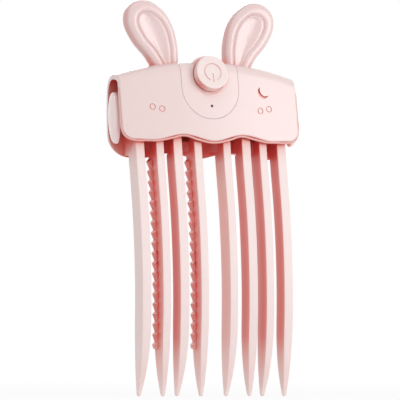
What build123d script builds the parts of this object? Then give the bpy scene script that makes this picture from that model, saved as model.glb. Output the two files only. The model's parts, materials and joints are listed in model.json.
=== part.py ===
from build123d import *
import os
from math import atan, cos, degrees, radians, sin, sqrt, tan

os.makedirs("parts", exist_ok=True)

# Heated root volumizing clip. A bent cover, open at both ends and below, carries a fixed comb of four
# heated teeth. Two squeeze jaws, each with two ribbed teeth and an oval end button, slide along the comb.
# X runs across the clip, the front faces -Y and Z is up. Sizes are in mm, heights start at the tooth tips,
# and an "x" size is a distance from the middle plane, about which the clip is a mirror image.

# Cover
half_width = 36.0
edge_z = 94.6
crest_mid_rise = 29.3
crest_end_rise = 23.8
plan_radius = 300.0
wall = 1.7
front_y0 = -0.9
lean = 0.2
shoulder_drop = 3.6
crest_setback = 4.1
rear_y = 17.4
rear_round_drop = 9.2
rear_flat_rise = 11.0
rear_edge_drop = 6.5
rear_tuck = 3.4
front_corner = 4.5
rear_corner = 8.0
scallop_rise = 2.0
scallop_x = 11.6
lobe_x = 22.0
middle_dip = 0.4
seam_y = 11.3
seam_gap = 0.1
rim_round = 0.6
station_count = 9

# Muzzle panel, nose button, indicator
muzzle_rise = 19.7
muzzle_radius = 11.7
muzzle_gap = 0.12
flange_reach = 1.5
flange_thickness = 0.8
nose_y = 1.3
nose_rise = 25.4
nose_tilt = 18.0
nose_radius = 6.45
nose_thickness = 3.0
nose_round = 0.45
nose_travel = 0.5
nose_gap = 0.6
collar_radius = 8.1
collar_round = 0.5
collar_root_x = 10.4
collar_root_rise = 19.6
collar_root_height = 9.2
collar_root_y = 10.6
guide_radius = 5.9
slide_clearance = 0.3
skirt_length = 2.0
skirt_wall = 0.8
stem_radius = 1.6
symbol_radius = 3.3
symbol_width = 0.5
symbol_depth = 0.25
symbol_opening = 50.0
led_rise = 12.9
led_radius = 0.5
led_recess = 0.35
led_fit = 0.05
led_air = 0.25

# Marks pressed into the front cover
ring_radius = 1.05
ring_width = 0.3
mark_depth = 0.25
ring_outer_x = 23.8
ring_outer_rise = 12.2
ring_inner_x = 20.1
ring_inner_rise = 11.5
crescent_x = 21.9
crescent_rise = 18.4
crescent_radius = 2.3
crescent_shift = 0.9
crescent_depth = 0.7

# Ears
ear_thickness = 4.6
ear_y = 12.1
ear_lean = 5.7
ear_pivot_rise = 28.0
ear_front_round = 2.2
ear_rear_round = 1.2
ear_rim = 3.3
ear_groove = 0.5
ear_groove_depth = 0.5
ear_groove_shift = 0.7
ear_steps = 10
ear_foot_rise = 22.5
ear_foot_x = [9.4, 17.5]
ear_outline = [(9.3, 30.0), (9.8, 37.5), (12.3, 45.0), (16.9, 50.1), (22.6, 52.3)]
ear_outline += [(28.5, 50.1), (30.6, 45.0), (27.9, 37.5), (21.7, 30.0)]
ear_tab_x = 13.6
ear_tab_width = 5.0
ear_tab_thickness = 1.0
ear_tab_y = 12.3
ear_tab_low_rise = 20.5
ear_tab_high_rise = 30.0
ear_tab_fit = 0.1

# Teeth
tooth_a_x = [14.0, 28.9]
tooth_b_x = [5.9, 21.05]
tooth_a_width = 3.6
tooth_b_width = 3.15
tooth_a_depth = 7.1
tooth_b_depth = 8.0
tooth_top_z = 94.2
tooth_cut_z = 88.7
tooth_front = [(1.45, 95.8), (1.15, tooth_top_z), (0.25, tooth_cut_z), (-2.85, 72.6), (-5.3, 55.0)]
tooth_front += [(-6.5, 36.0), (-5.75, 17.4)]
tip_height = 0.8
tip_front_y = -2.2
tip_rear_y = -0.6
tip_radius = 0.7
tip_shift = 0.75
tip_share = 0.9
tip_scales = {0.3: 0.78, 0.0: 0.4}
tooth_levels = [88.7, 81.0, 72.6, 64.0, 55.0, 45.5, 36.0, 31.0, 26.0, 21.0, 16.0, 11.0, 7.0, 4.0, 2.0]
tooth_levels += [tip_height, 0.3, 0.0]
taper_start = 26.0
tooth_round = 0.35
rib_count = 19
rib_top_z = 87.6
rib_bottom_z = 16.3
rib_height = 1.0
rib_depth = 3.0
rib_lead = 1.1
rib_root = 0.4
rib_inset = 0.2

# Fixed comb root
web_width = 2.6
web_front_y = 2.0
web_top_z = 95.8
bar_front_y = 11.0
bar_low_z = 90.6
bar_high_z = 94.4

# Heat spreader, heater, fuse, sensor and pad
blade_width = 1.4
blade_inset = 1.9
blade_depth = 2.2
blade_low_z = 20.0
blade_fit = 0.1
arm_high_z = 97.2
arm_low_z = 92.4
spreader_front_y = 9.2
spreader_depth = 2.2
spreader_height = 3.2
heater_half_length = 27.0
heater_thickness = 0.5
pad_thickness = 0.8
fuse_radius = 0.6
fuse_length = 7.0
fuse_x = 14.0
sensor_radius = 0.6
sensor_x = 8.0

# Squeeze jaws
jaw_travel = 2.4
rail_y = 4.5
rail_z = 100.6
jaw_half_height = 3.0
jaw_half_depth = 1.7
jaw_inner_x = 4.2
jaw_outer_x = 28.8
neck_front = 2.1
neck_high_z = 98.2
neck_rear = 5.8
neck_lean = 0.5
rod_radius = 0.75
rod_rise = 1.3
rod_fit = 0.05
rod_start = 0.7
tongue_height = 2.8
tongue_front = 1.0
button_plate_x = 35.2
button_plate = 2.9
button_dome = 2.2
button_ball = 1.0
button_half_depth = 3.9
button_half_height = 9.7
button_offset_y = 3.0
button_rise = 2.0
button_tilt = 8.0
peg_radius = 1.0
peg_length = 1.2
spring_radius = 2.0
spring_wire = 0.45
spring_turns = 4
spring_rise = 7.3
spring_offset_y = 3.6
spring_wall_x = 28.7

# Inner frame, board, switch, cell and socket
shelf_thickness = 1.2
shelf_rear_y = 15.3
shelf_half_length = 30.8
frame_clearance = 0.3
post_half = 1.2
post_depth = 4.6
lug_thickness = 1.5
lug_low_rise = 0.1
spring_wall_thickness = 1.2
spring_wall_margin = 0.5
boss_x = 24.3
boss_rise = 15.0
boss_radius = 2.3
boss_rear_y = 9.0
tab_thickness = 1.2
board_thickness = 1.0
board_half_width = 11.5
board_up = 2.0
board_down = 12.5
board_post_x = 9.0
board_post_half = 1.3
board_post_drop = 8.5
board_post_depth = 1.3
switch_half = 2.3
switch_height = 1.7
plunger_radius = 1.1
plunger_height = 1.2
plunger_seat = 0.4
plunger_fit = 0.1
chip_height = 0.8
chip_half = 0.8
charger_chip_x = [-6.5, -3.5]
driver_chip_x = [3.5, 7.0]
chip_drop = 1.0
battery_half_width = 21.0
battery_thickness = 3.2
battery_height = 9.0
battery_fit = 0.1
battery_round = 0.8
socket_half_width = 4.5
socket_half_height = 1.6
socket_depth = 6.3
socket_rear_y = 17.0
socket_shell = 0.35
socket_tongue_half = 3.3
socket_tongue_thickness = 0.7
socket_floor = 2.4
port_clearance = 0.25

# Screws
screw_radius = 0.8
screw_head_radius = 1.6
screw_head_height = 1.0
cover_screw_length = 10.4
comb_screw_length = 3.6
comb_screw_z = 92.5
screw_fit = 0.15
board_screw_radius = 0.5
board_screw_head_radius = 0.95
board_screw_head_height = 0.5


def plan_shift(x):
    return x * x / (2 * plan_radius)


def crest_z(x):
    drop = crest_mid_rise - crest_end_rise
    radius = (half_width**2 + drop**2) / (2 * drop)
    return edge_z + crest_mid_rise - radius + sqrt(radius**2 - x * x)


def front_y(x, z):
    return front_y0 + lean * (z - edge_z) + plan_shift(x)


def inner_y(x, z):
    return front_y(x, z) + wall


def closed_face(*edges):
    return Face(Wire(list(edges)))


def polygon(points):
    return closed_face(*Polyline(*points, close=True).edges())


def prism_x(points, x_from, x_to):
    face = polygon([(x_from, y, z) for y, z in points])
    return extrude(face, amount=x_to - x_from, dir=(1, 0, 0))


def block(x0, x1, y0, y1, z0, z1):
    return Pos((x0 + x1) / 2, (y0 + y1) / 2, (z0 + z1) / 2) * Box(x1 - x0, y1 - y0, z1 - z0)


def rod_y(x, z, y_from, y_to, radius):
    plane = Plane(origin=(x, y_from, z), x_dir=(1, 0, 0), z_dir=(0, 1, 0))
    return extrude(plane * Circle(radius), amount=y_to - y_from)


def both_sides(shape):
    return shape + mirror(shape, about=Plane.YZ)


# Cover body, lofted through side sections that rise towards the middle and bow forward in plan
def cover_section(x, inset, low):
    shoulder = crest_z(x) - shoulder_drop
    rear = rear_y - inset
    foot = (x, front_y(x, low) + inset, low)
    top = (x, front_y(x, shoulder) + inset, shoulder)
    crest = (x, front_y(x, shoulder) + crest_setback, crest_z(x) - inset)
    rear_top = (x, rear, crest_z(x) - rear_round_drop)
    rear_low = (x, rear, edge_z + rear_flat_rise)
    rear_foot = (x, rear - rear_tuck, low)
    return closed_face(
        Line(foot, top),
        Spline(top, crest, rear_top, tangents=[(0, lean, 1), (0, 0, -1)]),
        Line(rear_top, rear_low),
        TangentArc(rear_low, rear_foot, tangent=(0, 0, -1)),
        Line(rear_foot, foot),
    )


def cover_solid(half, inset, low):
    stations = [half * (2 * i / (station_count - 1) - 1) for i in range(station_count)]
    return loft([cover_section(x, inset, low) for x in stations])


far_y = 40.0
rear_edge_z = edge_z - rear_edge_drop
below = rear_edge_z - 2.0
top_z = edge_z + crest_mid_rise + 8.0
outer_body = cover_solid(half_width, 0.0, below)
cavity = cover_solid(half_width + 1.0, wall, below - 1.0)
cover_wall = outer_body - cavity


# Region above the scalloped lower edge of a cover half, with rounded lower corners
def cover_region(base, corner, dip, y_from, y_to):
    x_end = half_width + 0.5
    start = half_width - corner
    lobe = min(lobe_x, start - 1.0)
    bend = corner * (1 - sqrt(0.5))
    side_z = base + corner
    run = [(0, -dip), (scallop_x, scallop_rise), (lobe, 0), (start, 0)]
    run = [(-x, z) for x, z in run[:0:-1]] + run
    wave = Spline(*[(x, y_from, base + z) for x, z in run], tangents=[(1, 0, 0), (1, 0, 0)])
    right_side = (half_width, y_from, side_z)
    left_side = (-half_width, y_from, side_z)
    face = closed_face(
        wave,
        ThreePointArc((start, y_from, base), (half_width - bend, y_from, base + bend), right_side),
        Line(right_side, (x_end, y_from, side_z)),
        Line((x_end, y_from, side_z), (x_end, y_from, top_z)),
        Line((x_end, y_from, top_z), (-x_end, y_from, top_z)),
        Line((-x_end, y_from, top_z), (-x_end, y_from, side_z)),
        Line((-x_end, y_from, side_z), left_side),
        ThreePointArc(left_side, (-half_width + bend, y_from, base + bend), (-start, y_from, base)),
    )
    return extrude(face, amount=y_to - y_from, dir=(0, 1, 0))


def muzzle_region(gap):
    radius = muzzle_radius - gap
    centre = edge_z + muzzle_rise
    left = (-radius, -far_y, centre)
    right = (radius, -far_y, centre)
    face = closed_face(
        ThreePointArc(left, (0, -far_y, centre - radius), right),
        Line(right, (radius, -far_y, top_z)),
        Line((radius, -far_y, top_z), (-radius, -far_y, top_z)),
        Line((-radius, -far_y, top_z), left),
    )
    return extrude(face, amount=far_y + seam_y, dir=(0, 1, 0))


# Nose axis: local Z points out of the nose face, which lies at depth zero
nose_face = Plane(
    origin=(0, nose_y, edge_z + nose_rise),
    x_dir=(1, 0, 0),
    z_dir=(0, -cos(radians(nose_tilt)), sin(radians(nose_tilt))),
)
guide_depth = nose_thickness + nose_gap
skirt_depth = nose_thickness + skirt_length
switch_depth = skirt_depth + plunger_height
board_depth = switch_depth + switch_height
led_z = edge_z + led_rise


def nose_cylinder(radius, depth_from, depth_to):
    return nose_face * Pos(0, 0, -(depth_from + depth_to) / 2) * Cylinder(radius, depth_to - depth_from)


def nose_box(x_from, x_to, low, high, depth_from, depth_to):
    size = Box(x_to - x_from, high - low, depth_to - depth_from)
    return nose_face * Pos((x_from + x_to) / 2, (low + high) / 2, -(depth_from + depth_to) / 2) * size


def nose_point(up, depth):
    return nose_face.from_local_coords((0, up, -depth))


# Outer edges of a cover half that a hand touches, all but the seams
def rim_edges(shell):
    skin = [face for face in outer_body.faces() if face.geom_type != GeomType.PLANE]
    chosen = []
    for edge in shell.edges():
        middle = edge.position_at(0.5)
        at_end = abs(abs(middle.X) - half_width) < 0.01
        at_foot = middle.Z < edge_z + scallop_rise + 0.2 and edge.length > 1.0
        on_skin = min(face.distance_to(middle) for face in skin) < 0.01
        if on_skin and (at_end or at_foot):
            chosen.append(edge)
    return chosen


# A mark follows the front wall: its prism is cut by a copy of the body set back by the mark's depth
mark_layer = outer_body - Pos(0, mark_depth, 0) * outer_body
crescent_layer = outer_body - Pos(0, crescent_depth, 0) * outer_body


def mark(x, rise, sketch, layer):
    plane = Plane(origin=(x, -far_y, edge_z + rise), x_dir=(1, 0, 0), z_dir=(0, 1, 0))
    return extrude(plane * sketch, amount=far_y + seam_y / 2) & layer


boss_z = edge_z + boss_rise
cover_screw_seat = rear_y - screw_head_height
cover_screw_end = cover_screw_seat - cover_screw_length


# Outer rear surface below its flat band, an arc that tucks in towards the foot
def rear_skin_y(z):
    drop = edge_z + rear_flat_rise - below
    radius = (drop**2 + rear_tuck**2) / (2 * rear_tuck)
    return rear_y - radius + sqrt(radius**2 - (edge_z + rear_flat_rise - z) ** 2)


comb_screw_seat = rear_skin_y(comb_screw_z) - screw_head_height
comb_screw_end = comb_screw_seat - comb_screw_length


def front_cover():
    shell = cover_wall & cover_region(edge_z, front_corner, middle_dip, -far_y, seam_y)
    shell = fillet(rim_edges(shell), rim_round)
    shell = shell - muzzle_region(0.0)
    ring = Circle(ring_radius + ring_width / 2) - Circle(ring_radius - ring_width / 2)
    for side in (-1, 1):
        shell = shell - mark(side * ring_outer_x, ring_outer_rise, ring, mark_layer)
        shell = shell - mark(side * ring_inner_x, ring_inner_rise, ring, mark_layer)
        boss = rod_y(side * boss_x, boss_z, 0, boss_rear_y, boss_radius) & cavity
        shell = shell + (boss - rod_y(side * boss_x, boss_z, cover_screw_end, boss_rear_y, screw_radius))
    moon = Circle(crescent_radius) - Pos(crescent_shift, -crescent_shift) * Circle(crescent_radius)
    return shell - mark(crescent_x, crescent_rise, moon, crescent_layer)


def rear_cover():
    shell = cover_wall & cover_region(rear_edge_z, rear_corner, 0.0, bar_front_y, far_y)
    shell = shell - block(-far_y, far_y, 0, seam_y + seam_gap, edge_z + rear_flat_rise, top_z)
    shell = fillet(rim_edges(shell), rim_round)
    hole = screw_radius + screw_fit
    head_hole = screw_head_radius + screw_fit
    for side in (-1, 1):
        boss = rod_y(side * boss_x, boss_z, boss_rear_y + tab_thickness, far_y, boss_radius)
        shell = shell + (boss & cavity)
        shell = shell - rod_y(side * boss_x, boss_z, 0, far_y, hole)
        shell = shell - rod_y(side * boss_x, boss_z, cover_screw_seat, far_y, head_hole)
        for x in tooth_a_x:
            shell = shell - rod_y(side * x, comb_screw_z, 0, far_y, hole)
            shell = shell - rod_y(side * x, comb_screw_z, comb_screw_seat, far_y, head_hole)
    port_half_width = socket_half_width + port_clearance
    port_half_height = socket_half_height + port_clearance
    shell = shell - ear_tab(-1, ear_tab_fit) - ear_tab(1, ear_tab_fit)
    return shell - socket_slot(port_half_width, port_half_height, 0, far_y)


def muzzle_panel():
    panel = cover_wall & muzzle_region(muzzle_gap)
    root = Plane(origin=(0, collar_root_y, edge_z + collar_root_rise), x_dir=(1, 0, 0), z_dir=(0, -1, 0))
    rim = nose_face * Pos(0, 0, -guide_depth) * Circle(collar_radius)
    collar = loft([rim, root * Ellipse(collar_root_x, collar_root_height)])
    collar = fillet(collar.edges().filter_by(GeomType.CIRCLE), collar_round) - cavity
    layer = cavity - Pos(0, flange_thickness, 0) * cavity
    flange = layer & muzzle_region(-flange_reach)
    flange = flange & block(-half_width, half_width, -far_y, seam_y, shelf_top + frame_clearance, top_z)
    panel = panel + collar + flange
    panel = panel - nose_cylinder(guide_radius, -far_y, guide_depth + collar_root_y)
    panel = panel - nose_cylinder(nose_radius + slide_clearance, -far_y, guide_depth)
    return panel - rod_y(0, led_z, -far_y, nose_point(0, board_depth).Y, led_radius)


def power_symbol():
    ring = Circle(symbol_radius + symbol_width / 2) - Circle(symbol_radius - symbol_width / 2)
    reach = symbol_radius + symbol_width
    spread = reach * tan(radians(symbol_opening / 2))
    wedge = make_face(Polyline((0, 0), (-spread, -reach), (spread, -reach), close=True))
    bar = Pos(0, -symbol_radius / 2 - symbol_width) * Rectangle(symbol_width, symbol_radius)
    return ring - wedge + bar


def nose_button():
    cap = nose_cylinder(nose_radius, 0, nose_thickness)
    cap = fillet(cap.edges().group_by(Axis((0, 0, 0), tuple(nose_face.z_dir)))[-1], nose_round)
    skirt = nose_cylinder(guide_radius - slide_clearance, nose_thickness, skirt_depth)
    skirt = skirt - nose_cylinder(guide_radius - slide_clearance - skirt_wall, nose_thickness, skirt_depth)
    stem = nose_cylinder(stem_radius, nose_thickness, skirt_depth)
    symbol = extrude(nose_face * power_symbol(), amount=-symbol_depth)
    return cap + skirt + stem - symbol


def switch_plunger():
    return nose_cylinder(plunger_radius, skirt_depth, switch_depth + plunger_seat)


def tact_switch():
    body = nose_box(-switch_half, switch_half, -switch_half, switch_half, switch_depth, board_depth)
    well = switch_depth + plunger_seat + nose_travel + plunger_fit
    return body - nose_cylinder(plunger_radius + plunger_fit, 0, well)


def board_screw(side):
    head_top = board_depth - board_screw_head_height
    place = nose_face * Pos(side * board_post_x, -board_post_drop, 0)
    tip = board_depth + board_thickness + board_post_depth
    head = Cylinder(board_screw_head_radius, board_screw_head_height)
    shank = Cylinder(board_screw_radius, tip - board_depth)
    return place * (Pos(0, 0, -(head_top + board_depth) / 2) * head + Pos(0, 0, -(board_depth + tip) / 2) * shank)


def board_screws():
    return board_screw(-1) + board_screw(1)


def circuit_board():
    rear = board_depth + board_thickness
    return nose_box(-board_half_width, board_half_width, -board_down, board_up, board_depth, rear) - board_screws()


def chip_height_on_board():
    return (nose_point(0, board_depth).Z - led_z) / cos(radians(nose_tilt))


def status_led():
    up = -chip_height_on_board()
    top = board_depth - chip_height
    return nose_box(-chip_half, chip_half, up - chip_half, up + chip_half, top, board_depth)


def led_light_pipe():
    start = front_y(0, led_z) + led_recess
    end = nose_point(-chip_height_on_board(), board_depth - chip_height).Y - led_air
    return rod_y(0, led_z, start, end, led_radius - led_fit)


def control_chips():
    low = chip_drop - chip_half - chip_height_on_board()
    top = board_depth - chip_height
    charger_size = charger_chip_x[1] - charger_chip_x[0]
    driver_size = driver_chip_x[1] - driver_chip_x[0]
    charger = nose_box(*charger_chip_x, low, low + charger_size, top, board_depth)
    return charger + nose_box(*driver_chip_x, low, low + driver_size, top, board_depth)


# Ears stand behind the crest; the plane of an ear leans back a little
ear_plane = Plane(
    origin=(0, ear_y, edge_z + ear_pivot_rise),
    x_dir=(1, 0, 0),
    z_dir=(0, -cos(radians(ear_lean)), sin(radians(ear_lean))),
)


def ear_face(side):
    points = [(side * x, rise - ear_pivot_rise) for x, rise in ear_outline]
    foot = ear_foot_rise - ear_pivot_rise
    inner_foot = (side * ear_foot_x[0], foot)
    outer_foot = (side * ear_foot_x[1], foot)
    edges = [
        Spline(*points),
        Line(points[-1], outer_foot),
        Line(outer_foot, inner_foot),
        Line(inner_foot, points[0]),
    ]
    return make_face(Wire(edges).edges())


# Outline of the inner ear, a line at a steady distance inside the ear's edge
def inner_ear(side, distance):
    outline = Spline(*[(side * x, rise - ear_pivot_rise) for x, rise in ear_outline])
    points = []
    for step in range(ear_steps + 1):
        place = outline @ (step / ear_steps)
        run = outline % (step / ear_steps)
        points.append((place.X + side * distance * run.Y, place.Y - side * distance * run.X))
    return make_face([Spline(*points), Line(points[-1], points[0])])


def ear_tab(side, fit):
    half = ear_tab_width / 2 + fit
    depth = ear_tab_thickness / 2 + fit
    low = edge_z + ear_tab_low_rise - fit
    high = edge_z + ear_tab_high_rise
    middle = side * ear_tab_x
    return block(middle - half, middle + half, ear_tab_y - depth, ear_tab_y + depth, low, high)


def ear_depth(edge):
    return ear_plane.to_local_coords(edge @ 0.5).Z


def ear(side):
    face = ear_face(side)
    body = extrude(ear_plane * face, amount=ear_thickness / 2, both=True)
    foot = edge_z + ear_foot_rise + ear_front_round
    rim = [edge for edge in body.edges() if edge.bounding_box().max.Z > foot]
    body = fillet([edge for edge in rim if ear_depth(edge) > ear_thickness / 4], ear_front_round)
    rim = [edge for edge in body.edges() if edge.bounding_box().max.Z > foot]
    body = fillet([edge for edge in rim if ear_depth(edge) < 0.01 - ear_thickness / 2], ear_rear_round)
    groove = inner_ear(side, ear_rim) - inner_ear(side, ear_rim + ear_groove)
    groove = Pos(-side * ear_groove_shift, 0) * groove
    cut = extrude(ear_plane * Pos(0, 0, ear_thickness / 2) * groove, amount=-ear_groove_depth)
    return body - cut - outer_body + ear_tab(side, 0.0)


def left_ear():
    return ear(-1)


def right_ear():
    return ear(1)


# Teeth are lofted through level sections; their front and rear lines run through a few known points
def bow(inset, share_at_end):
    points = [(y + inset, z) for y, z in tooth_front[:-1]]
    y, z = tooth_front[-1]
    return points + [(y + share_at_end * inset, z)]


def side_line(points, tip_y):
    return Spline(*[(0, y, z) for y, z in points], (0, tip_y, tip_height))


def y_at(line, z):
    low, high = 0.0, 1.0
    for _ in range(40):
        middle = (low + high) / 2
        if (line @ middle).Z > z:
            low = middle
        else:
            high = middle
    return (line @ low).Y


front_line = side_line(bow(0.0, 1.0), tip_front_y)
rear_line_a = side_line(bow(tooth_a_depth, tip_share), tip_rear_y)
rear_line_b = side_line(bow(tooth_b_depth, tip_share), tip_rear_y)


# Inner edge of a tooth bends away from its neighbour towards the tip, along an arc
def taper(z, width):
    run = tip_shift - tip_radius + width / 2
    drop = taper_start - tip_height
    radius = (run**2 + drop**2) / (2 * run)
    depth = max(taper_start - z, 0)
    inner = -width / 2 + radius - sqrt(radius**2 - depth**2)
    outer = width / 2 - (width / 2 - tip_shift - tip_radius) * depth / drop
    return inner, outer


def tooth(x, width, rear_line, away, high_z):
    sections = []
    for z in [high_z] + [level for level in tooth_levels if level < high_z]:
        scale = tip_scales.get(z, 1.0)
        inner, outer = taper(max(z, tip_height), width)
        front = y_at(front_line, max(z, tip_height))
        rear = y_at(rear_line, max(z, tip_height))
        centre = (x + away * (inner + outer) / 2, (front + rear) / 2 + plan_shift(x), z)
        outline = RectangleRounded(scale * (outer - inner), scale * (rear - front), scale * tooth_round)
        sections.append(Pos(*centre) * outline)
    return loft(sections)


def trim_above(x, heel_y, knee_y, knee_z):
    shift = plan_shift(x)
    points = [(heel_y, tooth_cut_z), (knee_y, knee_z), (knee_y, top_z), (far_y, top_z), (far_y, tooth_cut_z)]
    return prism_x([(y + shift, z) for y, z in points], x - far_y, x + far_y)


# Saw-shaped ribs on the rear of the side that faces the neighbouring fixed tooth
def ribs(x):
    pitch = (rib_top_z - rib_bottom_z) / rib_count
    side = x + tooth_b_width / 2
    root = side - rib_root
    points = [(root, rib_top_z)]
    for step in range(rib_count):
        z = rib_top_z - step * pitch
        points += [(side, z), (side + rib_height, z - rib_lead)]
    points += [(side, rib_bottom_z), (root, rib_bottom_z)]
    saw = extrude(polygon([(u, -far_y, z) for u, z in points]), amount=2 * far_y, dir=(0, 1, 0))
    rear = [(x, y + plan_shift(x), z) for y, z in bow(tooth_b_depth - rib_inset, tip_share)]
    front = [(x, y - rib_depth, z) for x, y, z in rear]
    strip = closed_face(Spline(*rear), Line(rear[-1], front[-1]), Spline(*front[::-1]), Line(front[0], rear[0]))
    return saw & extrude(strip, amount=tooth_b_width, dir=(1, 0, 0))


# Heat blade inside a fixed tooth, with an arm that climbs along the web to the spreader bar
def blade(x, fit):
    shift = plan_shift(x)
    inset = blade_inset - fit
    depth = blade_depth + 2 * fit
    back = spreader_front_y + spreader_depth / 2 - shift
    front = [(x, y + shift + inset, z) for y, z in bow(0.0, 1.0)]
    rear = [(x, y + depth, z) for x, y, z in front if z <= tooth_cut_z]
    top = [(rear[0][1], arm_low_z - fit), (back + shift, web_top_z - fit), (back + shift, arm_high_z + fit)]
    top = [rear[0]] + [(x, y, z) for y, z in top] + [(x, front[0][1], arm_high_z + fit), front[0]]
    low_end = Line(front[-1], rear[-1])
    face = closed_face(Spline(*front), low_end, Spline(*rear[::-1]), *Polyline(*top).edges())
    solid = extrude(face, amount=blade_width / 2 + fit, dir=(1, 0, 0), both=True)
    return solid - block(x - far_y, x + far_y, -far_y, far_y, -far_y, blade_low_z - fit)


def fixed_comb():
    region = cavity & cover_region(rear_edge_z, rear_corner, 0.0, -far_y, far_y)
    bar_end = tooth_a_x[-1] + web_width / 2
    comb = block(-bar_end, bar_end, bar_front_y, rear_y, bar_low_z, bar_high_z) & region
    heel = y_at(rear_line_a, tooth_cut_z)
    for x in tooth_a_x:
        fixed_tooth = tooth(x, tooth_a_width, rear_line_a, 1, web_top_z)
        fixed_tooth = fixed_tooth - trim_above(x, heel, web_front_y, tooth_top_z)
        front = web_front_y + plan_shift(x)
        points = [(front, tooth_top_z), (front, web_top_z), (rear_y, web_top_z), (rear_y, tooth_cut_z)]
        points += [(heel + plan_shift(x), tooth_cut_z)]
        web = prism_x(points, x - web_width / 2, x + web_width / 2) & region
        comb = (comb + both_sides(fixed_tooth + web)) - both_sides(blade(x, blade_fit))
    for side in (-1, 1):
        for x in tooth_a_x:
            comb = comb - rod_y(side * x, comb_screw_z, comb_screw_end, far_y, screw_radius)
    return comb


def heat_spreader():
    end = tooth_a_x[-1] + blade_width / 2
    bar = block(-end, end, spreader_front_y, spreader_front_y + spreader_depth, web_top_z, spreader_top)
    return both_sides(blade(tooth_a_x[0], 0.0) + blade(tooth_a_x[1], 0.0)) + bar


spreader_top = web_top_z + spreader_height
heater_top = spreader_top + heater_thickness


def spreader_layer(half_length, z_from, z_to):
    return block(-half_length, half_length, spreader_front_y, spreader_front_y + spreader_depth, z_from, z_to)


def film_heater():
    return spreader_layer(heater_half_length, spreader_top, heater_top)


def rod_x(x_from, x_to, y, z, radius):
    plane = Plane(origin=(x_from, y, z), x_dir=(0, 1, 0), z_dir=(1, 0, 0))
    return extrude(plane * Circle(radius), amount=x_to - x_from)


heater_y = spreader_front_y + spreader_depth / 2


def thermal_fuse():
    half = fuse_length / 2
    return rod_x(fuse_x - half, fuse_x + half, heater_y, heater_top + fuse_radius, fuse_radius)


def temperature_sensor():
    return Pos(-sensor_x, heater_y, heater_top + sensor_radius) * Sphere(sensor_radius)


def insulation_pad():
    pad = spreader_layer(heater_half_length, heater_top, heater_top + pad_thickness)
    window = fuse_length / 2 + pad_thickness
    pad = pad - block(fuse_x - window, fuse_x + window, 0, far_y, 0, top_z)
    return pad - block(-sensor_x - pad_thickness, -sensor_x + pad_thickness, 0, far_y, 0, top_z)


# Each jaw slides on its own rod, square to the cover at the jaw's middle
slide_angle = degrees(atan((jaw_inner_x + button_plate_x) / 2 / plan_radius))
rail = Location((0, rail_y, rail_z), (0, 0, slide_angle))
rail_low_z = rail_z - jaw_half_height
shelf_low = rail_z + jaw_half_height + frame_clearance
shelf_top = shelf_low + shelf_thickness
lug_x = jaw_outer_x + frame_clearance


def rail_box(x0, x1, y0, y1, z0, z1):
    return rail * block(x0, x1, y0, y1, z0, z1)


def rail_rod(x_from, x_to, y, z, radius):
    return rail * rod_x(x_from, x_to, y, z, radius)


tongue_middle = -jaw_half_height + tongue_height / 2
peg_y = (jaw_half_depth - tongue_front) / 2


def right_jaw():
    low = -jaw_half_height
    jaw = rail_box(jaw_inner_x, jaw_outer_x, -jaw_half_depth, jaw_half_depth, low, jaw_half_height)
    jaw = jaw + rail_box(jaw_outer_x, button_plate_x, -tongue_front, jaw_half_depth, low, low + tongue_height)
    jaw = jaw + rail_rod(button_plate_x, button_plate_x + peg_length, peg_y, tongue_middle, peg_radius)
    heel = y_at(rear_line_b, tooth_cut_z)
    knee_z = tooth_cut_z + heel - neck_rear
    for x in tooth_b_x:
        jaw_tooth = tooth(x, tooth_b_width, rear_line_b, -1, tooth_top_z)
        jaw_tooth = jaw_tooth - trim_above(x, heel, neck_rear, knee_z)
        front = neck_front - neck_lean
        points = [(front, knee_z), (front, tooth_top_z), (neck_front, neck_high_z), (neck_rear, neck_high_z)]
        points = [(y + plan_shift(x), z) for y, z in points + [(neck_rear, knee_z)]]
        jaw = jaw + jaw_tooth + prism_x(points, x - tooth_b_width / 2, x + tooth_b_width / 2) + ribs(x)
    bore_end = jaw_outer_x + 1.0
    return jaw - rail_rod(jaw_inner_x - 1.0, bore_end, 0, rod_rise, rod_radius + rod_fit)


def left_jaw():
    return mirror(right_jaw(), about=Plane.YZ)


# An oval plate cut to a dome by a ball stretched along the plate
def right_end_button():
    oval = Plane.YZ * Ellipse(button_half_depth, button_half_height)
    rim_share = 1 - (button_dome / (button_dome + button_ball)) ** 2
    wide = button_half_depth / sqrt(rim_share)
    tall = button_half_height / sqrt(rim_share)
    ball = scale(Sphere(1), by=(button_dome + button_ball, wide, tall))
    button = extrude(oval, amount=button_plate) & (Pos(button_plate - button_dome - button_ball, 0, 0) * ball)
    place = Location((button_plate_x, button_offset_y, button_rise), (-button_tilt, 0, 0))
    button = rail * place * button
    return button - rail_rod(button_plate_x, button_plate_x + peg_length, peg_y, tongue_middle, peg_radius)


def left_end_button():
    return mirror(right_end_button(), about=Plane.YZ)


def guide_rods():
    return both_sides(rail_rod(rod_start, lug_x + lug_thickness, 0, rod_rise, rod_radius))


def right_spring():
    length = button_plate_x - spring_wall_x - spring_wire
    path = Helix(pitch=length / spring_turns, height=length, radius=spring_radius)
    coil = sweep(Plane(origin=path @ 0, z_dir=path % 0) * Circle(spring_wire / 2), path, is_frenet=True)
    lie = Pos(spring_wall_x + spring_wire / 2, spring_offset_y, spring_rise) * Rot(0, 90, 0)
    return rail * (lie * coil)


def left_spring():
    return mirror(right_spring(), about=Plane.YZ)


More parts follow.
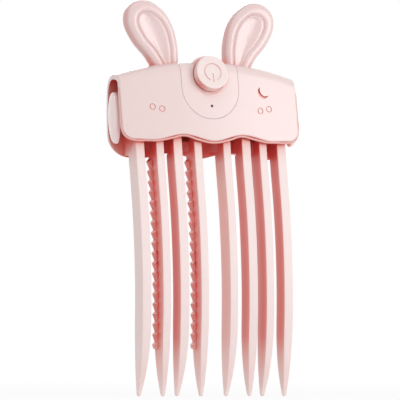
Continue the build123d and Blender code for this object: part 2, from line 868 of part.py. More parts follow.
def inner_frame():
    def front(x):
        return inner_y(x, shelf_low) + frame_clearance

    half = shelf_half_length
    plan = closed_face(
        ThreePointArc((-half, front(half), shelf_low), (0, front(0), shelf_low), (half, front(half), shelf_low)),
        Line((half, front(half), shelf_low), (half, shelf_rear_y, shelf_low)),
        Line((half, shelf_rear_y, shelf_low), (-half, shelf_rear_y, shelf_low)),
        Line((-half, shelf_rear_y, shelf_low), (-half, front(half), shelf_low)),
    )
    frame = extrude(plan, amount=shelf_thickness, dir=(0, 0, 1))
    frame = frame + block(-post_half, post_half, front(0), front(0) + post_depth, rail_low_z, shelf_top)
    seat = spring_radius + spring_wire / 2 + spring_wall_margin
    wall_low = jaw_half_height + frame_clearance
    lug = rail_box(lug_x, lug_x + lug_thickness, -jaw_half_depth, jaw_half_depth, lug_low_rise, wall_low)
    stand = rail_box(
        spring_wall_x - spring_wall_thickness,
        spring_wall_x,
        spring_offset_y - seat,
        spring_offset_y + seat,
        wall_low,
        spring_rise + seat,
    )
    tab_rear = boss_rear_y + tab_thickness
    tab = block(boss_x - boss_radius, boss_x + boss_radius, boss_rear_y, tab_rear, shelf_low, boss_z + boss_radius)
    tab = tab - rod_y(boss_x, boss_z, 0, far_y, screw_radius + screw_fit)
    board_rear = board_depth + board_thickness
    post = nose_box(
        board_post_x - board_post_half,
        board_post_x + board_post_half,
        -board_down - frame_clearance,
        -board_post_drop + board_post_half,
        board_rear,
        board_rear + board_post_depth,
    )
    frame = frame + both_sides(lug + stand + tab + post)
    return frame - board_screws() - guide_rods()


def battery():
    rear = rear_y - wall - battery_fit
    front = rear - battery_thickness
    cell = block(-battery_half_width, battery_half_width, front, rear, shelf_top, shelf_top + battery_height)
    return fillet(cell.edges().filter_by(Axis.X), battery_round)


socket_z = shelf_low - socket_half_height


def socket_slot(half_width, half_height, y_from, y_to):
    plane = Plane(origin=(0, y_from, socket_z), x_dir=(1, 0, 0), z_dir=(0, 1, 0))
    return extrude(plane * SlotOverall(2 * half_width, 2 * half_height), amount=y_to - y_from)


def charging_socket():
    front = socket_rear_y - socket_depth
    shell = socket_slot(socket_half_width, socket_half_height, front, socket_rear_y)
    inner_half = socket_half_height - socket_shell
    shell = shell - socket_slot(socket_half_width - socket_shell, inner_half, front + socket_floor, far_y)
    half = socket_tongue_thickness / 2
    end = socket_rear_y - socket_floor / 2
    tongue = block(-socket_tongue_half, socket_tongue_half, front, end, socket_z - half, socket_z + half)
    return shell + tongue


def screw(x, z, seat, length):
    head = rod_y(x, z, seat, seat + screw_head_height, screw_head_radius)
    return head + rod_y(x, z, seat - length, seat, screw_radius)


def cover_screws():
    return both_sides(screw(boss_x, boss_z, cover_screw_seat, cover_screw_length))


def comb_screws():
    pair = screw(tooth_a_x[0], comb_screw_z, comb_screw_seat, comb_screw_length)
    pair = pair + screw(tooth_a_x[1], comb_screw_z, comb_screw_seat, comb_screw_length)
    return both_sides(pair)


makers = [
    front_cover,
    rear_cover,
    muzzle_panel,
    nose_button,
    switch_plunger,
    tact_switch,
    circuit_board,
    control_chips,
    status_led,
    led_light_pipe,
    board_screws,
    left_ear,
    right_ear,
    fixed_comb,
    heat_spreader,
    film_heater,
    thermal_fuse,
    temperature_sensor,
    insulation_pad,
    left_jaw,
    right_jaw,
    left_end_button,
    right_end_button,
    guide_rods,
    left_spring,
    right_spring,
    inner_frame,
    battery,
    charging_socket,
    cover_screws,
    comb_screws,
]
nodes = {make.__name__: Compound(list(make().solids())) for make in makers}

# The origin is the bottom centre of the whole clip
boxes = [shape.bounding_box() for shape in nodes.values()]
low_x, high_x = min(box.min.X for box in boxes), max(box.max.X for box in boxes)
low_y, high_y = min(box.min.Y for box in boxes), max(box.max.Y for box in boxes)
low_z, high_z = min(box.min.Z for box in boxes), max(box.max.Z for box in boxes)
to_origin = Pos(-(low_x + high_x) / 2, -(low_y + high_y) / 2, -low_z)
for name, shape in nodes.items():
    export_step(to_origin * shape, f"parts/{name}.step")

print("size", high_x - low_x, high_y - low_y, high_z - low_z, "moved by", to_origin.position)
print("right jaw slides along", -rail.x_axis.direction, "by", jaw_travel)
print("nose slides along", -nose_face.z_dir, "by", nose_travel)
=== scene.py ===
import json
import bpy
import bmesh
from math import cos, pi, radians, sin
from mathutils import Matrix, Vector


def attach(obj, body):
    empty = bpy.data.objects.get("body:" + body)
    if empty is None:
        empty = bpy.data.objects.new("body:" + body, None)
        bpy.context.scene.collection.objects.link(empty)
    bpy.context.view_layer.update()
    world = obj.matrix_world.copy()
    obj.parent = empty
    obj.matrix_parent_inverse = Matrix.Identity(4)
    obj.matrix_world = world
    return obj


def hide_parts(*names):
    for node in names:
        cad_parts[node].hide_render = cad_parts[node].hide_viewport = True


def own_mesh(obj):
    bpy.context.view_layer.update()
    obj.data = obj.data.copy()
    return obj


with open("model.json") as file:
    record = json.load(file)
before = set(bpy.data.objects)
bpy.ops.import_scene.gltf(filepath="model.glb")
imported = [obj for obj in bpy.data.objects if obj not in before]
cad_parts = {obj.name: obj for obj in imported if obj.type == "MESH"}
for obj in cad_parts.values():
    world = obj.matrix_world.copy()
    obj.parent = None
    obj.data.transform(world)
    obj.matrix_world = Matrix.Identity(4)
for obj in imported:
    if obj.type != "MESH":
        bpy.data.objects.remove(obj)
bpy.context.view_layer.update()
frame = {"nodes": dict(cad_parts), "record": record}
nodes = frame["nodes"]
print("frame loaded,", len(nodes), "nodes")

scene = bpy.context.scene
scene.view_settings.view_transform = "Standard"
mm = 0.001
packShift = 5.45886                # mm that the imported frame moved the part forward
coverEdge = 94.6                   # mm from the floor to the front cover's lower edge
platePlace = 35.2                  # mm along the rail to the end buttons


# Camera at the photograph's angle, seen from the left and just below level
photoCamera = {
    "turn": 25.0,                  # degrees to the left of straight ahead
    "rise": -1.0,
    "roll": 0.4,
    "distance": 2.0,
    "aim": (0.0, -5.46, 72.6),     # mm, the point at the pixel below
    "aimPixel": (213.3, 200.0),
    "pixelsPerMm": 2.7,
    "frameWidth": 400,
    "sensorWidth": 36.0,
    "nearest": 0.05,
    "farthest": 20.0,
}


def makeCamera(s):
    turn = radians(s["turn"])
    rise = radians(s["rise"])
    back = Vector((-sin(turn) * cos(rise), -cos(turn) * cos(rise), sin(rise)))
    aim = Vector(s["aim"]) * mm
    cameraData = bpy.data.cameras.new("photoCamera")
    camera = bpy.data.objects.new("photoCamera", cameraData)
    scene.collection.objects.link(camera)
    look = (-back).to_track_quat("-Z", "Y").to_matrix().to_4x4()
    spin = Matrix.Rotation(radians(s["roll"]), 4, "Z")
    camera.matrix_world = Matrix.Translation(aim + back * s["distance"]) @ look @ spin
    cameraData.sensor_width = s["sensorWidth"]
    shownWidth = s["frameWidth"] / s["pixelsPerMm"] * mm
    cameraData.lens = s["sensorWidth"] * s["distance"] / shownWidth
    cameraData.shift_x = (s["frameWidth"] / 2 - s["aimPixel"][0]) / s["frameWidth"]
    cameraData.shift_y = (s["aimPixel"][1] - s["frameWidth"] / 2) / s["frameWidth"]
    cameraData.clip_start = s["nearest"]
    cameraData.clip_end = s["farthest"]
    scene.camera = camera


makeCamera(photoCamera)
print("camera placed")


# Soft studio: pale floor, white surroundings, a broad lamp from the right and weaker ones from the left,
# from above and from behind
studio = {
    "worldStrength": 0.56,
    "floorHalf": 6.0,
    "floorColor": (0.95, 0.95, 0.95, 1),
    "floorRoughness": 0.9,
    "floorSpecular": 0.2,
    "floorGlow": 0.86,             # share of plain white that the camera sees in the floor beside the clip
    "floorFade": (0.06, 0.40),     # metres from the clip over which the floor turns plain white
    "lampAim": (0.0, 0.0, 0.08),
    "keyEnergy": 4.9,
    "keySize": 0.7,
    "keyPlace": (0.80, -0.95, 0.36),
    "fillEnergy": 0.6,
    "fillSize": 0.9,
    "fillPlace": (-0.9, -0.7, 0.25),
    "topEnergy": 1.2,
    "topSize": 0.6,
    "topPlace": (-0.3, -0.3, 0.9),
    "rearEnergy": 2.2,
    "rearSize": 0.45,
    "rearPlace": (0.3, 1.1, 0.42),
}


def whiteBehind(tree, shader, output, glow, fade=None):
    # The camera and reflections see plain white, and light on the object stays as it is
    light = tree.nodes.new("ShaderNodeLightPath")
    seen = light.outputs["Is Camera Ray"]
    for kind in ("Is Glossy Ray", "Is Transmission Ray"):
        either = tree.nodes.new("ShaderNodeMath")
        either.operation = "MAXIMUM"
        tree.links.new(seen, either.inputs[0])
        tree.links.new(light.outputs[kind], either.inputs[1])
        seen = either.outputs[0]
    share = tree.nodes.new("ShaderNodeMath")
    share.operation = "MULTIPLY"
    share.inputs[1].default_value = glow
    tree.links.new(seen, share.inputs[0])
    if fade:
        place = tree.nodes.new("ShaderNodeTexCoord")
        far = tree.nodes.new("ShaderNodeVectorMath")
        far.operation = "LENGTH"
        tree.links.new(place.outputs["Object"], far.inputs[0])
        ramp = tree.nodes.new("ShaderNodeMapRange")
        ramp.interpolation_type = "SMOOTHSTEP"
        ramp.inputs["From Min"].default_value = fade[0]
        ramp.inputs["From Max"].default_value = fade[1]
        ramp.inputs["To Min"].default_value = glow
        tree.links.new(far.outputs["Value"], ramp.inputs["Value"])
        tree.links.new(ramp.outputs["Result"], share.inputs[1])
    white = tree.nodes.new("ShaderNodeEmission" if fade else "ShaderNodeBackground")
    white.inputs["Color"].default_value = (1, 1, 1, 1)
    white.inputs["Strength"].default_value = 1.0
    mix = tree.nodes.new("ShaderNodeMixShader")
    tree.links.new(share.outputs[0], mix.inputs[0])
    tree.links.new(shader.outputs[0], mix.inputs[1])
    tree.links.new(white.outputs[0], mix.inputs[2])
    tree.links.new(mix.outputs[0], output.inputs["Surface"])


def makeStudio(s):
    world = bpy.data.worlds.new("studioWorld")
    scene.world = world
    world.use_nodes = True
    tree = world.node_tree
    background = tree.nodes["Background"]
    background.inputs["Color"].default_value = (1, 1, 1, 1)
    background.inputs["Strength"].default_value = s["worldStrength"]
    whiteBehind(tree, background, tree.nodes["World Output"], 1.0)

    bm = bmesh.new()
    bmesh.ops.create_grid(bm, x_segments=1, y_segments=1, size=s["floorHalf"])
    floorMesh = bpy.data.meshes.new("studioFloor")
    bm.to_mesh(floorMesh)
    bm.free()
    floor = bpy.data.objects.new("studioFloor", floorMesh)
    scene.collection.objects.link(floor)
    paper = bpy.data.materials.new("paleFloor")
    paper.use_nodes = True
    tree = paper.node_tree
    shader = tree.nodes["Principled BSDF"]
    shader.inputs["Base Color"].default_value = s["floorColor"]
    shader.inputs["Roughness"].default_value = s["floorRoughness"]
    shader.inputs["Specular IOR Level"].default_value = s["floorSpecular"]
    whiteBehind(tree, shader, tree.nodes["Material Output"], s["floorGlow"], s["floorFade"])
    floorMesh.materials.append(paper)

    for lampName in ("key", "fill", "top", "rear"):
        lampData = bpy.data.lights.new(lampName + "Lamp", "AREA")
        lampData.shape = "DISK"
        lampData.size = s[lampName + "Size"]
        lampData.energy = s[lampName + "Energy"]
        lamp = bpy.data.objects.new(lampName + "Lamp", lampData)
        place = Vector(s[lampName + "Place"])
        turn = (Vector(s["lampAim"]) - place).to_track_quat("-Z", "Y").to_matrix().to_4x4()
        lamp.matrix_world = Matrix.Translation(place) @ turn
        scene.collection.objects.link(lamp)


makeStudio(studio)
print("studio lit")


# Node groups that several materials share

def newGroup(name, inputs, outputs):
    group = bpy.data.node_groups.new(name, "ShaderNodeTree")
    for label, kind, value in inputs:
        socket = group.interface.new_socket(name=label, in_out="INPUT", socket_type=kind)
        socket.default_value = value
    for label, kind in outputs:
        group.interface.new_socket(name=label, in_out="OUTPUT", socket_type=kind)
    return group, group.nodes.new("NodeGroupInput"), group.nodes.new("NodeGroupOutput")


# Where painted shade deepens the pink of the plastic, as ranges over which each cause sets in
paintedShadeRanges = {
    "under": (-0.1, -0.7),         # upward part of the normal
    "beside": (-0.3, -0.9),        # rightward part of the normal
    "floor": (0.0, 0.022),         # metres above the floor
    "inside": (0.086, 0.095),      # metres above the floor, behind the cover's edge
    "deep": (0.08, 0.5),           # openness, where 1 is fully open
    "shadedFrom": 0.45,            # openness
    "samples": 16,
}


def makePaintedShadeTint(s):
    # Painted shade: the pink turns salmon and red where little light gets in, in hollows, between teeth and
    # under edges, by an occlusion, normal and height mask
    group, given, out = newGroup(
        "paintedShadeTint",
        [("Open", "NodeSocketColor", (0.9, 0.7, 0.68, 1)), ("Shaded", "NodeSocketColor", (0.6, 0.2, 0.18, 1)),
         ("Deep", "NodeSocketColor", (0.35, 0.03, 0.02, 1)), ("Reach", "NodeSocketFloat", 0.02),
         ("Under", "NodeSocketFloat", 0.3), ("Beside", "NodeSocketFloat", 0.1),
         ("Inside", "NodeSocketFloat", 0.0), ("Start", "NodeSocketFloat", 0.96)],
        [("Color", "NodeSocketColor")],
    )
    n = group.nodes
    l = group.links

    def ramp(value, low, high):
        node = n.new("ShaderNodeMapRange")
        node.inputs["From Min"].default_value = low
        if isinstance(high, float):
            node.inputs["From Max"].default_value = high
        else:
            l.new(high, node.inputs["From Max"])
        l.new(value, node.inputs["Value"])
        return node.outputs["Result"]

    def maths(kind, first, second):
        node = n.new("ShaderNodeMath")
        node.operation = kind
        for socket, value in zip(node.inputs, (first, second)):
            if isinstance(value, float):
                socket.default_value = value
            else:
                l.new(value, socket)
        return node.outputs[0]

    def blend(factor, low, high):
        node = n.new("ShaderNodeMix")
        node.data_type = "RGBA"
        for socket, value in zip((node.inputs[0], node.inputs[6], node.inputs[7]), (factor, low, high)):
            l.new(value, socket)
        return node.outputs[2]

    cover = n.new("ShaderNodeAmbientOcclusion")
    cover.samples = s["samples"]
    l.new(given.outputs["Reach"], cover.inputs["Distance"])
    facing = n.new("ShaderNodeNewGeometry")
    turned = n.new("ShaderNodeSeparateXYZ")
    l.new(facing.outputs["Normal"], turned.inputs[0])
    place = n.new("ShaderNodeTexCoord")
    height = n.new("ShaderNodeSeparateXYZ")
    l.new(place.outputs["Object"], height.inputs[0])
    # Painted shade also on faces turned down, faces turned left and what lies inside the cover
    under = maths("MULTIPLY", ramp(turned.outputs["Z"], *s["under"]), given.outputs["Under"])
    beside = maths("MULTIPLY", ramp(turned.outputs["X"], *s["beside"]), given.outputs["Beside"])
    inside = maths("MULTIPLY", ramp(height.outputs["Z"], *s["inside"]), given.outputs["Inside"])
    closed = maths("SUBTRACT", 1.0, cover.outputs["AO"])
    closed = maths("ADD", closed, maths("ADD", inside, maths("ADD", under, beside)))
    closed = maths("MULTIPLY", closed, ramp(height.outputs["Z"], *s["floor"]))
    openness = maths("SUBTRACT", 1.0, closed)
    dark = blend(ramp(openness, *s["deep"]), given.outputs["Deep"], given.outputs["Shaded"])
    light = blend(ramp(openness, s["shadedFrom"], given.outputs["Start"]), dark, given.outputs["Open"])
    l.new(light, out.inputs["Color"])
    return group


# Texture of the moulded plastic
grainSizes = {
    "flowScale": 45.0,             # per metre
    "flowDetail": 3.0,
    "fineScale": 2600.0,
    "fineDetail": 2.0,
    "fineHeight": 0.00005,         # metres
}


def makeMouldGrain(s):
    # Faint flow mottling of moulded plastic, and the fine texture of the tool's surface
    group, given, out = newGroup(
        "mouldGrain",
        [("Color", "NodeSocketColor", (0.9, 0.7, 0.68, 1)), ("Mottle", "NodeSocketFloat", 0.03),
         ("Roughness", "NodeSocketFloat", 0.4), ("Spread", "NodeSocketFloat", 0.05),
         ("Grain", "NodeSocketFloat", 0.02)],
        [("Color", "NodeSocketColor"), ("Roughness", "NodeSocketFloat"), ("Normal", "NodeSocketVector")],
    )
    n = group.nodes
    l = group.links
    place = n.new("ShaderNodeTexCoord")
    flow = n.new("ShaderNodeTexNoise")
    flow.inputs["Scale"].default_value = s["flowScale"]
    flow.inputs["Detail"].default_value = s["flowDetail"]
    l.new(place.outputs["Object"], flow.inputs["Vector"])
    centred = n.new("ShaderNodeMath")
    centred.operation = "SUBTRACT"
    centred.inputs[1].default_value = 0.5
    l.new(flow.outputs["Fac"], centred.inputs[0])
    shade = n.new("ShaderNodeMath")
    shade.operation = "MULTIPLY_ADD"
    shade.inputs[2].default_value = 1.0
    l.new(centred.outputs[0], shade.inputs[0])
    l.new(given.outputs["Mottle"], shade.inputs[1])
    tone = n.new("ShaderNodeVectorMath")
    tone.operation = "SCALE"
    l.new(given.outputs["Color"], tone.inputs[0])
    l.new(shade.outputs[0], tone.inputs["Scale"])
    l.new(tone.outputs[0], out.inputs["Color"])
    rough = n.new("ShaderNodeMath")
    rough.operation = "MULTIPLY_ADD"
    l.new(centred.outputs[0], rough.inputs[0])
    l.new(given.outputs["Spread"], rough.inputs[1])
    l.new(given.outputs["Roughness"], rough.inputs[2])
    l.new(rough.outputs[0], out.inputs["Roughness"])
    fine = n.new("ShaderNodeTexNoise")
    fine.inputs["Scale"].default_value = s["fineScale"]
    fine.inputs["Detail"].default_value = s["fineDetail"]
    l.new(place.outputs["Object"], fine.inputs["Vector"])
    bump = n.new("ShaderNodeBump")
    bump.inputs["Distance"].default_value = s["fineHeight"]
    l.new(given.outputs["Grain"], bump.inputs["Strength"])
    l.new(fine.outputs["Fac"], bump.inputs["Height"])
    l.new(bump.outputs[0], out.inputs["Normal"])
    return group


paintedShadeTint = makePaintedShadeTint(paintedShadeRanges)
mouldGrain = makeMouldGrain(grainSizes)


def placeGroup(tree, group, **values):
    node = tree.nodes.new("ShaderNodeGroup")
    node.node_tree = group
    for label, value in values.items():
        node.inputs[label].default_value = value
    return node


def newFinish(name):
    material = bpy.data.materials.new(name)
    material.use_nodes = True
    tree = material.node_tree
    return material, tree, tree.nodes["Principled BSDF"]


def linkSurface(tree, surface, shader):
    tree.links.new(surface.outputs["Color"], shader.inputs["Base Color"])
    tree.links.new(surface.outputs["Roughness"], shader.inputs["Roughness"])
    tree.links.new(surface.outputs["Normal"], shader.inputs["Normal"])


# The pink mouldings. open, shaded and deep are the colours in full light, in hollows and far inside, so shaded
# and deep are painted shade. reach is how near another wall starts to shade, in metres. under, beside and
# inside paint shade onto what faces down, what faces left and what lies inside the cover
# salmon and the red below are painted shade colours for hollows, tooth sides and the cover's inside
salmon = (0.86, 0.36, 0.31)
paintedShadeRed = (0.83, 0.12, 0.10)
pinkUsual = {
    "shaded": salmon, "deep": paintedShadeRed, "under": 0.3, "beside": 0.1, "inside": 0.0, "start": 0.96,
    "roughness": 0.3, "coat": 0.4, "coatRoughness": 0.25, "mottle": 0.03, "spread": 0.06, "grain": 0.02,
    "specular": 0.45, "glow": 0.1, "glowDepth": 0.0015, "glowColor": (1.0, 0.35, 0.3),
}
pinkFinishes = {
    "shellPink": {"open": (0.875, 0.70, 0.68), "reach": 0.014, "under": 0.45, "beside": 0.15, "start": 0.84},
    "panelPink": {"open": (0.885, 0.715, 0.695), "shaded": (0.87, 0.42, 0.38), "deep": (0.80, 0.12, 0.10),
                  "reach": 0.008, "under": 0.45, "start": 0.88},
    "toothPink": {"open": (0.93, 0.775, 0.755), "shaded": (0.86, 0.46, 0.41), "reach": 0.016,
                  "roughness": 0.38, "coat": 0.15, "beside": 0.12, "inside": 0.35},
    "buttonPink": {"open": (0.95, 0.80, 0.77), "shaded": (0.88, 0.60, 0.57), "reach": 0.0003,
                   "roughness": 0.33, "coat": 0.3, "under": 0.5, "beside": 0.4},
    # The cap's open colour is lighter than the other pinks, a painted highlight on the end buttons
    "capPink": {"open": (1.0, 0.80, 0.775), "reach": 0.0015, "roughness": 0.16, "coat": 1.0, "start": 0.7,
                "coatRoughness": 0.06},
    # For the ears, beside paints the faces turned left rosier, painted shade for light that falls from the
    # right
    "earPink": {"open": (0.84, 0.64, 0.625), "shaded": (0.76, 0.48, 0.46), "deep": salmon, "reach": 0.0045,
                "roughness": 0.28, "coat": 0.55, "under": 0.15, "beside": 0.6, "start": 0.93,
                "coatRoughness": 0.14},
    # The lip's salmon open colour is painted shade under the cover's lower edge
    "lipShadePink": {"open": (0.84, 0.50, 0.46), "shaded": (0.80, 0.36, 0.32), "reach": 0.0025, "coat": 0.3,
                "under": 0.6},
    # The inner frame's deeper salmon is painted shade for the inside of the cover
    "frameShadePink": {"open": (0.86, 0.48, 0.44), "shaded": (0.86, 0.24, 0.20), "reach": 0.012,
                  "roughness": 0.5, "coat": 0.0, "glow": 0.0},
}


def pinkPlastic(name, own):
    s = {**pinkUsual, **own}
    material, tree, shader = newFinish(name)
    tint = placeGroup(tree, paintedShadeTint, Open=(*s["open"], 1), Shaded=(*s["shaded"], 1), Deep=(*s["deep"], 1),
                      Reach=s["reach"], Under=s["under"], Beside=s["beside"], Inside=s["inside"],
                      Start=s["start"])
    surface = placeGroup(tree, mouldGrain, Mottle=s["mottle"], Roughness=s["roughness"], Spread=s["spread"],
                         Grain=s["grain"])
    tree.links.new(tint.outputs["Color"], surface.inputs["Color"])
    linkSurface(tree, surface, shader)
    shader.inputs["Specular IOR Level"].default_value = s["specular"]
    shader.inputs["Coat Weight"].default_value = s["coat"]
    shader.inputs["Coat Roughness"].default_value = s["coatRoughness"]
    shader.inputs["Subsurface Weight"].default_value = s["glow"]
    shader.inputs["Subsurface Radius"].default_value = s["glowColor"]
    shader.inputs["Subsurface Scale"].default_value = s["glowDepth"]
    return material


# What shows a little through the open ends and from behind, and what lies inside
plainUsual = {"metallic": 0.0, "mottle": 0.08, "spread": 0.1, "grain": 0.1}
plainFinishes = {
    "boardGreen": {"color": (0.02, 0.10, 0.04), "roughness": 0.35},
    "chipBlack": {"color": (0.012, 0.012, 0.014), "roughness": 0.5},
    "steel": {"color": (0.55, 0.55, 0.57), "roughness": 0.28, "metallic": 1.0},
    "springSteel": {"color": (0.42, 0.42, 0.44), "roughness": 0.3, "metallic": 1.0},
    "spreaderMetal": {"color": (0.72, 0.73, 0.74), "roughness": 0.25, "metallic": 1.0},
    "amberFilm": {"color": (0.45, 0.16, 0.02), "roughness": 0.25},
    "fibrePad": {"color": (0.8, 0.78, 0.74), "roughness": 0.95, "mottle": 0.3, "grain": 0.6},
    "cellFoil": {"color": (0.6, 0.61, 0.62), "roughness": 0.35, "metallic": 0.9},
    "pipeDark": {"color": (0.006, 0.004, 0.004), "roughness": 0.6},
}


def plainFinish(name, own):
    s = {**plainUsual, **own}
    material, tree, shader = newFinish(name)
    surface = placeGroup(tree, mouldGrain, Color=(*s["color"], 1), Mottle=s["mottle"], Roughness=s["roughness"],
                         Spread=s["spread"], Grain=s["grain"])
    linkSurface(tree, surface, shader)
    shader.inputs["Metallic"].default_value = s["metallic"]
    return material


finish = {name: pinkPlastic(name, own) for name, own in pinkFinishes.items()}
finish.update({name: plainFinish(name, own) for name, own in plainFinishes.items()})
print("finishes made")

slotFinish = {
    "shell": "shellPink", "teeth": "toothPink", "button": "buttonPink", "frame": "frameShadePink",
    "board": "boardGreen", "chip": "chipBlack", "lens": "pipeDark", "steel": "steel",
    "spring_steel": "springSteel", "spreader": "spreaderMetal", "film": "amberFilm", "pad": "fibrePad",
    "cell": "cellFoil", "socket": "steel",
}
ownFinish = {
    "left_ear": "earPink", "right_ear": "earPink", "left_end_button": "capPink", "right_end_button": "capPink",
    "muzzle_panel": "panelPink",
}
slotOf = {part["node"]: part["material_slot"] for part in frame["record"]["subparts"]}
for name, node in nodes.items():
    node.data.materials.clear()
    node.data.materials.append(finish[ownFinish.get(name, slotFinish[slotOf[name]])])


def placePiece(name, mesh, look, body, replaced=None, rounded=False):
    piece = bpy.data.objects.new(name, mesh)
    scene.collection.objects.link(piece)
    mesh.materials.clear()
    mesh.materials.append(finish[look])
    if rounded:
        rounder = piece.modifiers.new("rounder", "SUBSURF")
        rounder.levels = 1
        rounder.render_levels = 1
    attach(piece, body)
    if replaced:
        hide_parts(replaced)
    return piece


def smoothMesh(bm, name):
    bmesh.ops.recalc_face_normals(bm, faces=bm.faces[:])
    for face in bm.faces:
        face.smooth = True
    mesh = bpy.data.meshes.new(name)
    bm.to_mesh(mesh)
    bm.free()
    return mesh


def meshOfCurve(curve):
    holder = bpy.data.objects.new(curve.name, curve)
    scene.collection.objects.link(holder)
    bpy.context.view_layer.update()
    mesh = bpy.data.meshes.new_from_object(holder)
    bpy.data.objects.remove(holder)
    return mesh


def thickened(bm, upper, rise):
    # Pulls the one face of a flat outline into a plate, and gives its upper and lower face
    if upper.normal.z < 0:
        upper.normal_flip()
    pulled = bmesh.ops.extrude_face_region(bm, geom=[upper], use_keep_orig=True)
    lower = [item for item in pulled["geom"] if isinstance(item, bmesh.types.BMFace)][0]
    bmesh.ops.translate(bm, verts=lower.verts[:], vec=(0, 0, -rise))
    bmesh.ops.recalc_face_normals(bm, faces=bm.faces[:])
    return upper, lower


# Ears, puffed along the rim, with a soft groove inside it and a dished inner ear
earShape = {
    "outline": [(9.3, 30.0), (9.8, 37.5), (12.3, 45.0), (16.9, 50.1), (22.6, 52.3), (28.5, 50.1), (30.6, 45.0),
                (27.9, 37.5), (21.7, 30.0)],      # mm from the middle, and above the cover's lower edge
    "foot": [(17.5, 22.5), (9.4, 22.5)],
    "steps": 7,                    # divisions between two points of the outline
    "axis": (10.7, 29.8),          # the way that the ear points
    "hair": 0.01,                  # mm, too little to see
    "margin": 0.1,
    "pivotRise": 28.0,
    "pivotDepth": 12.1 - packShift,
    "lean": 5.7,
    "sideFrom": -1.1,              # mm from the ear's middle plane
    "sideTo": 0.1,
    "rimSteps": [(0.17, 0.84), (0.47, 0.72), (0.72, 0.47), (0.84, 0.17)],      # inset and rise, mm
    "loopShare": (0.96, 0.95),     # the inner loop against the rim's crown, across and along
    "loopShift": (-0.3, -0.75),
    "grooveSteps": [(0.65, -0.04), (0.5, -0.2), (0.3, -0.28), (0.18, -0.02), (0.15, 0.2)],
    "dishSteps": [(0.95, 0.99, 0.1), (0.88, 0.97, 0.02), (0.8, 0.95, -0.1), (0.7, 0.93, -0.15),
                  (0.5, 0.88, -0.1)],  # across, along, rise
    "rearSteps": [(0.16, 0.46), (0.44, 0.44), (0.6, 0.3)],
}


def makeEar(side, s):
    name = "leftEarPuffed" if side < 0 else "rightEarPuffed"
    curve = bpy.data.curves.new("earLine", "CURVE")
    curve.dimensions = "3D"
    curve.resolution_u = s["steps"]
    points = s["outline"] + s["foot"]
    line = curve.splines.new("BEZIER")
    line.bezier_points.add(len(points) - 1)
    line.use_cyclic_u = True
    for point, (x, rise) in zip(line.bezier_points, points):
        point.co = (x, rise - s["pivotRise"], s["sideTo"])
        kind = "VECTOR" if (x, rise) in s["foot"] else "AUTO"
        point.handle_left_type = kind
        point.handle_right_type = kind
    bm = bmesh.new()
    bm.from_mesh(meshOfCurve(curve))
    bmesh.ops.remove_doubles(bm, verts=bm.verts, dist=s["hair"])
    bmesh.ops.contextual_create(bm, geom=bm.edges[:])
    low, high = (rise - s["pivotRise"] for rise in (s["foot"][0][1], s["outline"][0][1]))
    straight = [v for v in bm.verts if low + s["margin"] < v.co.y < high - s["margin"]]
    bmesh.ops.dissolve_verts(bm, verts=straight)
    front, rear = thickened(bm, bm.faces[:][0], s["sideTo"] - s["sideFrom"])
    for thickness, depth in s["rearSteps"]:
        bmesh.ops.inset_region(bm, faces=[rear], thickness=thickness, depth=depth, use_even_offset=True)
    for thickness, depth in s["rimSteps"]:
        bmesh.ops.inset_region(bm, faces=[front], thickness=thickness, depth=depth, use_even_offset=True)
    along = Vector((*s["axis"], 0)).normalized()
    turn = Matrix(((along.y, -along.x, 0), along, (0, 0, 1)))
    turned = turn.to_4x4() @ Matrix.Translation(-front.calc_center_median())
    shift = turn.inverted() @ Vector((*s["loopShift"], 0))
    bmesh.ops.scale(bm, vec=(*s["loopShare"], 1), space=turned, verts=front.verts[:])
    bmesh.ops.translate(bm, vec=shift, verts=front.verts[:])
    for thickness, depth in s["grooveSteps"]:
        bmesh.ops.inset_region(bm, faces=[front], thickness=thickness, depth=depth, use_even_offset=True)
    for across, length, rise in s["dishSteps"]:
        bmesh.ops.inset_region(bm, faces=[front], thickness=s["hair"], depth=0)
        bmesh.ops.scale(bm, vec=(across, length, 1), space=turned, verts=front.verts[:])
        bmesh.ops.translate(bm, vec=(0, 0, rise), verts=front.verts[:])
    lean = radians(s["lean"])
    place = Matrix(((side * mm, 0, 0, 0),
                    (0, sin(lean) * mm, -cos(lean) * mm, s["pivotDepth"] * mm),
                    (0, cos(lean) * mm, sin(lean) * mm, (coverEdge + s["pivotRise"]) * mm),
                    (0, 0, 0, 1)))
    bmesh.ops.transform(bm, matrix=place, verts=bm.verts[:])
    return placePiece(name, smoothMesh(bm, name), "earPink", "housing",
                      replaced="left_ear" if side < 0 else "right_ear", rounded=True)


for side in (-1, 1):
    makeEar(side, earShape)
print("ears made")


# The rail that a jaw slides along, given for the right half
railLine = {
    "y": 4.5 - packShift,          # mm
    "z": 100.6,
    "turn": 3.7570,                # degrees
}


def railPlace(side, s):
    turn = Matrix.Rotation(radians(s["turn"]), 4, "Z")
    return Matrix.Diagonal((side * mm, mm, mm, 1)) @ Matrix.Translation((0, s["y"], s["z"])) @ turn


# End buttons, oval cushions that are pressed from both sides
capShape = {
    "halfDepth": 3.9,              # mm
    "halfHeight": 9.7,
    "sides": 48,
    "plateX": platePlace,
    "offsetY": 3.0,
    "rise": 2.0,
    "tilt": 8.0,
    "sideHeight": 0.9,
    "rearInset": 0.15,
    "hair": 0.001,                 # mm, too little to see
    "frontRings": [(0.985, 0.5), (0.955, 0.88), (0.9, 1.15), (0.82, 1.38), (0.7, 1.6), (0.55, 1.77),
                   (0.38, 1.88), (0.2, 1.95)],    # share of the outline, and mm above the side
}


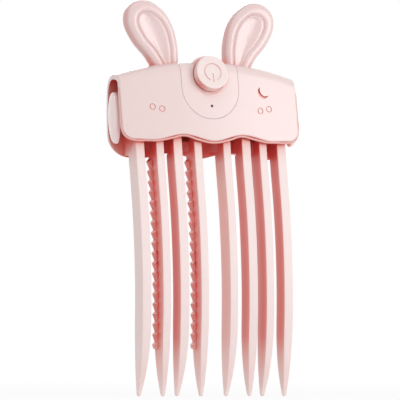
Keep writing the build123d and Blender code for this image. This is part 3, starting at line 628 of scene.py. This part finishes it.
def makeCap(side, s):
    name = "leftEndCushion" if side < 0 else "rightEndCushion"
    bm = bmesh.new()
    bmesh.ops.create_circle(bm, cap_ends=True, segments=s["sides"], radius=1.0)
    bmesh.ops.scale(bm, vec=(s["halfDepth"], s["halfHeight"], 1), verts=bm.verts[:])
    bmesh.ops.translate(bm, vec=(0, 0, s["sideHeight"]), verts=bm.verts[:])
    front, rear = thickened(bm, bm.faces[:][0], s["sideHeight"])
    lastSize, lastRise = 1.0, 0.0
    for size, rise in s["frontRings"]:
        bmesh.ops.inset_region(bm, faces=[front], thickness=s["hair"], depth=0)
        share = size / lastSize
        bmesh.ops.scale(bm, vec=(share, share, 1), verts=front.verts[:])
        bmesh.ops.translate(bm, vec=(0, 0, rise - lastRise), verts=front.verts[:])
        lastSize, lastRise = size, rise
    bmesh.ops.inset_region(bm, faces=[rear], thickness=s["rearInset"], depth=0)
    stand = Matrix(((0, 0, 1, 0), (1, 0, 0, 0), (0, 1, 0, 0), (0, 0, 0, 1)))
    tilt = Matrix.Rotation(radians(-s["tilt"]), 4, "X")
    spot = Matrix.Translation((s["plateX"], s["offsetY"], s["rise"]))
    bmesh.ops.transform(bm, matrix=railPlace(side, railLine) @ spot @ tilt @ stand, verts=bm.verts[:])
    return placePiece(name, smoothMesh(bm, name), "capPink", "left_jaw" if side < 0 else "right_jaw",
                      replaced="left_end_button" if side < 0 else "right_end_button", rounded=True)


for side in (-1, 1):
    makeCap(side, capShape)
print("end buttons made")


# Return springs, which shorten as the end buttons are pressed, built here at rest between their seats and the
# end buttons
coilShape = {
    "seatX": 28.7,                 # mm along the rail
    "plateX": platePlace,
    "offsetY": 3.6,
    "rise": 7.3,
    "radius": 2.0,
    "wire": 0.45,
    "turns": 4,
    "turnPoints": 16,
    "roundSteps": 2,
    "travel": 2.4,
}


def makeCoil(side, s):
    word = "left" if side < 0 else "right"
    place = railPlace(side, railLine)
    curve = bpy.data.curves.new(word + "Coil", "CURVE")
    curve.dimensions = "3D"
    curve.bevel_depth = s["wire"] / 2 * mm
    curve.bevel_resolution = s["roundSteps"]
    curve.use_fill_caps = True
    line = curve.splines.new("NURBS")
    line.points.add(s["turns"] * s["turnPoints"])
    room = s["plateX"] - s["seatX"]
    for step, point in enumerate(line.points):
        angle = 2 * pi * step / s["turnPoints"]
        share = step / (len(line.points) - 1)
        x = s["seatX"] + s["wire"] / 2 + (room - s["wire"]) * share
        y = s["offsetY"] + s["radius"] * sin(angle)
        z = s["rise"] - s["radius"] * cos(angle)
        point.co = (*(place @ Vector((x, y, z))), 1)
    line.order_u = 4
    line.use_endpoint_u = True
    piece = placePiece(word + "Coil", meshOfCurve(curve), "springSteel", "housing",
                       replaced=word + "_spring")
    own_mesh(piece)
    return piece


for side in (-1, 1):
    makeCoil(side, coilShape)
print("springs made")


# Soft lip that closes the front cover's lower edge and ends
lipShape = {
    "halfRun": [(0, -0.75), (5.9, 0.2), (11.6, 1.75), (17.0, 0.72), (22.0, -0.22), (26.5, -0.28),
                (31.5, -0.22), (34.8, 1.15), (36.1, 4.5), (36.1, 9.0), (36.05, 14.0), (35.85, 18.5),
                (35.3, 19.5)],     # mm from the middle, and above the cover's lower edge
    "steps": 6,
    "roundSteps": 3,
    "radius": 0.46,
    "depth": 0.85,                 # behind the cover's skin
    "skinY": -0.9 - packShift,
    "lean": 0.2,
    "planRadius": 300.0,
}


def makeLip(s):
    curve = bpy.data.curves.new("coverLip", "CURVE")
    curve.dimensions = "3D"
    curve.resolution_u = s["steps"]
    curve.bevel_depth = s["radius"] * mm
    curve.bevel_resolution = s["roundSteps"]
    curve.use_fill_caps = True
    run = [(-x, rise) for x, rise in s["halfRun"][:0:-1]] + s["halfRun"]
    line = curve.splines.new("BEZIER")
    line.bezier_points.add(len(run) - 1)
    for point, (x, rise) in zip(line.bezier_points, run):
        y = s["skinY"] + s["lean"] * rise + x * x / (2 * s["planRadius"]) + s["depth"]
        point.co = Vector((x, y, coverEdge + rise)) * mm
        point.handle_left_type = "AUTO"
        point.handle_right_type = "AUTO"
    # Its salmon finish is painted shade under the cover's edge
    return placePiece("coverLip", meshOfCurve(curve), "lipShadePink", "housing")


makeLip(lipShape)
print("cover lip made")
